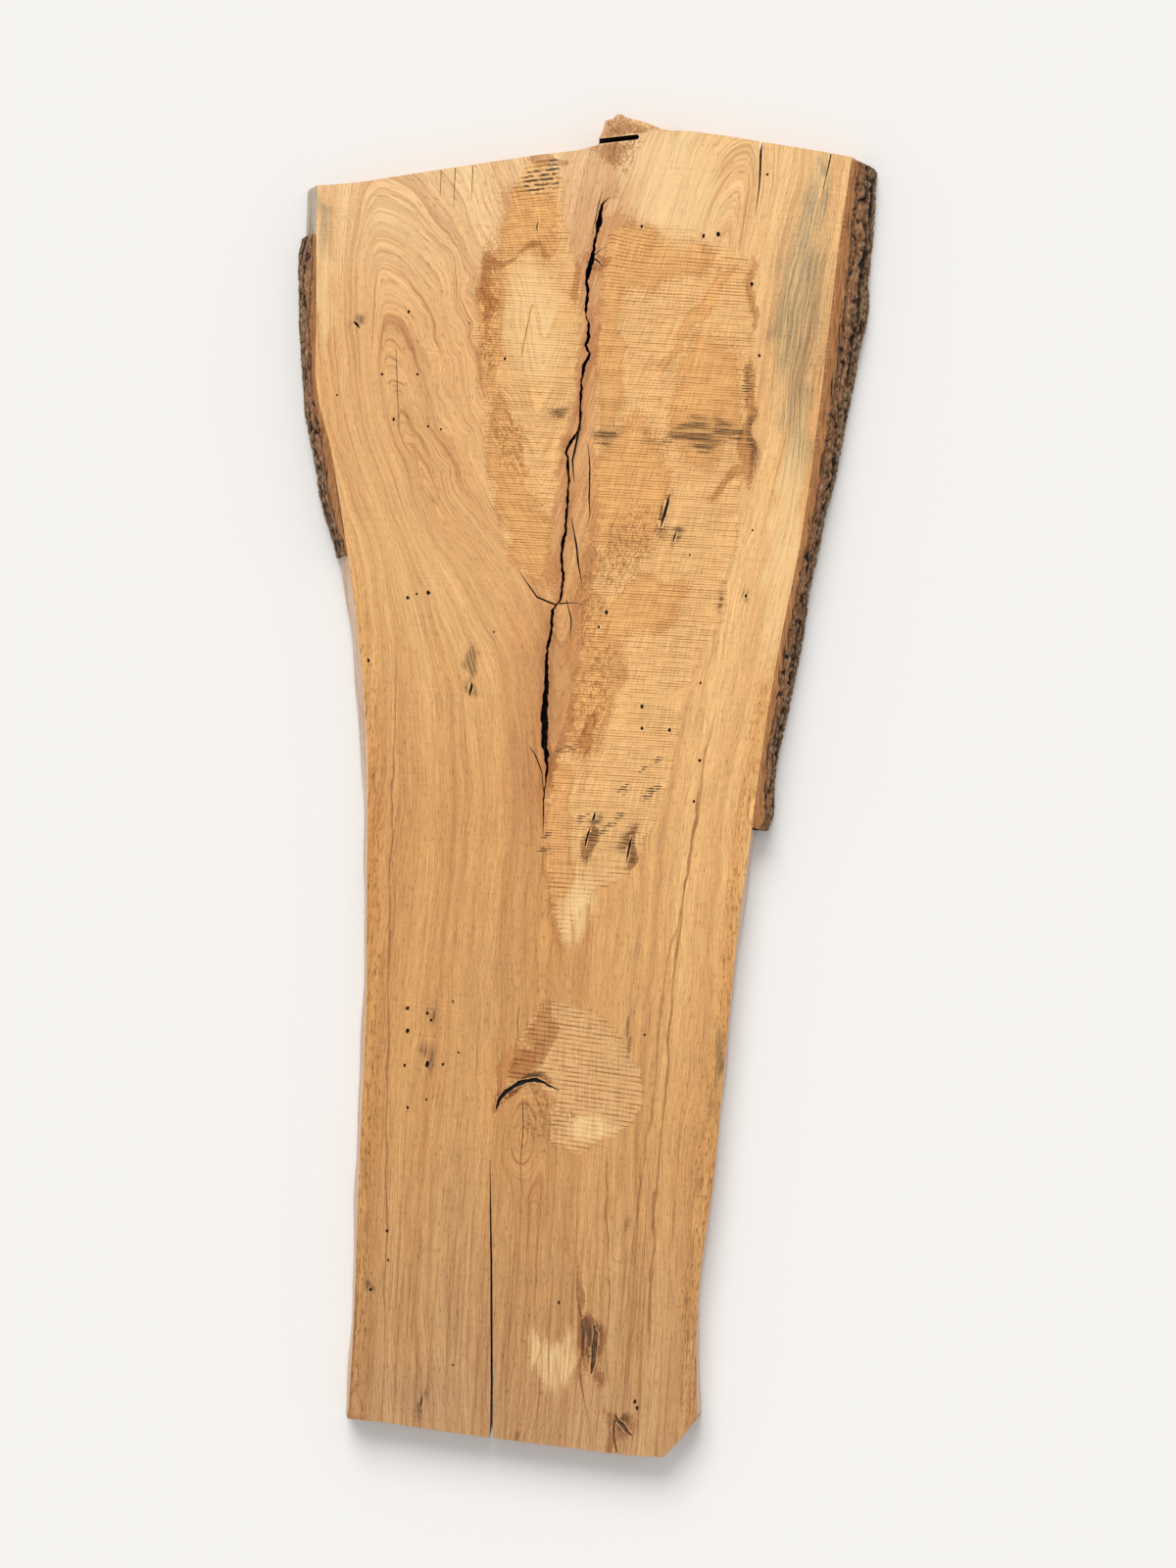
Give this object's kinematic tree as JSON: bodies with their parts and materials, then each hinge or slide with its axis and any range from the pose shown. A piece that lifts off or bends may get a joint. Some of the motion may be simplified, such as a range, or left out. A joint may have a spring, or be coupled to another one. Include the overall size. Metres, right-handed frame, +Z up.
{
  "type": "live-edge wood slab",
  "caption": "Flat wood slab sawn lengthwise through a forked trunk, wider at the fork, with live edges, bark strips along both upper sides, a long heart crack and drying checks",
  "frame": {"origin": "middle of the bounding box seen from above, on the lower sawn face that the slab lies on", "axes": "+Y runs along the grain from the foot of the trunk to the fork, +Z is up through the thickness, +X is to the right of the upper face"},
  "size_m": [0.9624, 2.2296, 0.057],
  "materials": {
    "wood": "planed and rough-sawn bare wood, matte",
    "bark": "dry furrowed bark, matte"
  },
  "bodies": {
    "root": {"slab": "wood", "bark_left": "bark", "bark_right": "bark"}
  },
  "joints": []
}
